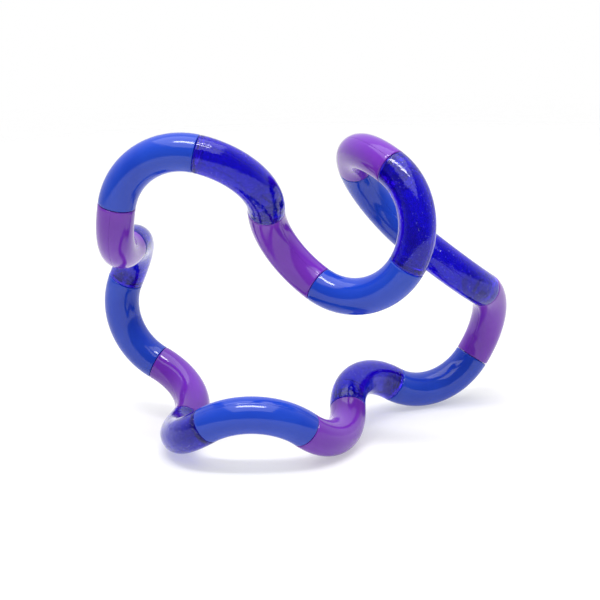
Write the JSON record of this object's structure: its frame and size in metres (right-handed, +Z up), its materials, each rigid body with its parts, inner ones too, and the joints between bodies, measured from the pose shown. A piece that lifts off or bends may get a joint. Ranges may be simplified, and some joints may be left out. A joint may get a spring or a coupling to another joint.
{
  "type": "twist puzzle loop",
  "caption": "Endless loop of hollow quarter-bend tubes in blue, clear navy and purple, joined by snap swivels so it can be wrung into any shape.",
  "frame": {"origin": "on the floor that the loop stands on, under the middle of its bounding box", "axes": "+X to the right along the loop's longest side, +Y to its back, +Z up"},
  "size_m": [0.1284, 0.0754, 0.1002],
  "materials": {
    "blue_plastic": "glossy opaque royal blue",
    "navy_clear_plastic": "clear deep blue, glossy, with the joint inside it showing",
    "purple_plastic": "glossy opaque violet"
  },
  "bodies": {
    "blue_1": {"blue_1_left_shell": "blue_plastic", "blue_1_right_shell": "blue_plastic"},
    "navy_1": {"navy_1_left_shell": "navy_clear_plastic", "navy_1_right_shell": "navy_clear_plastic"},
    "purple_1": {"purple_1_left_shell": "purple_plastic", "purple_1_right_shell": "purple_plastic"},
    "blue_2": {"blue_2_left_shell": "blue_plastic", "blue_2_right_shell": "blue_plastic"},
    "navy_2": {"navy_2_left_shell": "navy_clear_plastic", "navy_2_right_shell": "navy_clear_plastic"},
    "purple_2": {"purple_2_left_shell": "purple_plastic", "purple_2_right_shell": "purple_plastic"},
    "blue_3": {"blue_3_left_shell": "blue_plastic", "blue_3_right_shell": "blue_plastic"},
    "navy_3": {"navy_3_left_shell": "navy_clear_plastic", "navy_3_right_shell": "navy_clear_plastic"},
    "purple_3": {"purple_3_left_shell": "purple_plastic", "purple_3_right_shell": "purple_plastic"},
    "blue_4": {"blue_4_left_shell": "blue_plastic", "blue_4_right_shell": "blue_plastic"},
    "navy_4": {"navy_4_left_shell": "navy_clear_plastic", "navy_4_right_shell": "navy_clear_plastic"},
    "purple_4": {"purple_4_left_shell": "purple_plastic", "purple_4_right_shell": "purple_plastic"},
    "blue_5": {"blue_5_left_shell": "blue_plastic", "blue_5_right_shell": "blue_plastic"},
    "navy_5": {"navy_5_left_shell": "navy_clear_plastic", "navy_5_right_shell": "navy_clear_plastic"},
    "purple_5": {"purple_5_left_shell": "purple_plastic", "purple_5_right_shell": "purple_plastic"},
    "blue_6": {"blue_6_left_shell": "blue_plastic", "blue_6_right_shell": "blue_plastic"},
    "navy_6": {"navy_6_left_shell": "navy_clear_plastic", "navy_6_right_shell": "navy_clear_plastic"},
    "purple_6": {"purple_6_left_shell": "purple_plastic", "purple_6_right_shell": "purple_plastic"}
  },
  "joints": [
    {"name": "blue_4_swivel", "type": "hinge", "parent": "blue_4", "child": "purple_3", "pos_m": [0.05364, 0.03201, 0.01457], "axis": [-0.5394, -0.1509, -0.8284], "continuous": true},
    {"name": "navy_4_swivel", "type": "hinge", "parent": "navy_4", "child": "blue_4", "pos_m": [0.02716, 0.02164, 0.00895], "axis": [-0.7525, -0.3551, 0.5547], "continuous": true},
    {"name": "purple_4_swivel", "type": "hinge", "parent": "purple_4", "child": "navy_4", "pos_m": [0.0119, -0.00301, 0.00944], "axis": [0.0085, -0.8474, -0.5309], "range_deg": [-195, 0]},
    {"name": "blue_5_swivel", "type": "hinge", "parent": "blue_5", "child": "purple_4", "pos_m": [-0.00137, -0.0287, 0.01161], "axis": [0.6559, 0.4055, -0.6367], "continuous": true},
    {"name": "navy_5_swivel", "type": "hinge", "parent": "navy_5", "child": "blue_5", "pos_m": [-0.03027, -0.02903, 0.01382], "axis": [0.7541, -0.3895, 0.5287], "range_deg": [-225, 30]},
    {"name": "purple_5_swivel", "type": "hinge", "parent": "navy_5", "child": "purple_5", "pos_m": [-0.03806, -0.00225, 0.00588], "axis": [0.3743, 0.9165, 0.1412], "range_deg": [-195, 45]},
    {"name": "blue_6_swivel", "type": "hinge", "parent": "purple_5", "child": "blue_6", "pos_m": [-0.04783, 0.02226, 0.01789], "axis": [-0.8511, 0.2792, 0.4445], "continuous": true},
    {"name": "navy_6_swivel", "type": "hinge", "parent": "blue_6", "child": "navy_6", "pos_m": [-0.05702, 0.02398, 0.04533], "axis": [0.4029, -0.1953, 0.8941], "continuous": true},
    {"name": "purple_6_swivel", "type": "hinge", "parent": "navy_6", "child": "purple_6", "pos_m": [-0.05321, 0.0001, 0.06132], "axis": [0.217, 0.9695, 0.114], "range_deg": [-210, 0]},
    {"name": "blue_1_swivel", "type": "hinge", "parent": "purple_6", "child": "blue_1", "pos_m": [-0.05369, -0.023, 0.07884], "axis": [0.1932, -0.1572, 0.9685], "continuous": true},
    {"name": "navy_1_swivel", "type": "hinge", "parent": "blue_1", "child": "navy_1", "pos_m": [-0.02998, -0.02942, 0.09423], "axis": [0.9635, -0.1562, -0.2176], "continuous": true},
    {"name": "purple_1_swivel", "type": "hinge", "parent": "navy_1", "child": "purple_1", "pos_m": [-0.01109, -0.01797, 0.07546], "axis": [0.0418, -0.7147, 0.6982], "range_deg": [-45, 105]},
    {"name": "blue_2_swivel", "type": "hinge", "parent": "purple_1", "child": "blue_2", "pos_m": [0.00364, -0.01215, 0.05117], "axis": [0.7601, -0.4308, -0.4865], "range_deg": [-30, 60]},
    {"name": "navy_2_swivel", "type": "hinge", "parent": "blue_2", "child": "navy_2", "pos_m": [0.02903, -0.02376, 0.05898], "axis": [0.4786, -0.1353, 0.8675], "range_deg": [-210, 45]},
    {"name": "purple_2_swivel", "type": "hinge", "parent": "navy_2", "child": "purple_2", "pos_m": [0.02547, -0.0141, 0.08609], "axis": [0.6525, -0.6064, -0.4545], "range_deg": [-30, 210]},
    {"name": "blue_3_swivel", "type": "hinge", "parent": "purple_2", "child": "blue_3", "pos_m": [0.0161, 0.01297, 0.08163], "axis": [0.1957, 0.7143, -0.6719], "continuous": true},
    {"name": "navy_3_swivel", "type": "hinge", "parent": "blue_3", "child": "navy_3", "pos_m": [0.03344, 0.01516, 0.05849], "axis": [-0.6499, 0.6076, 0.4566], "continuous": true}
  ]
}
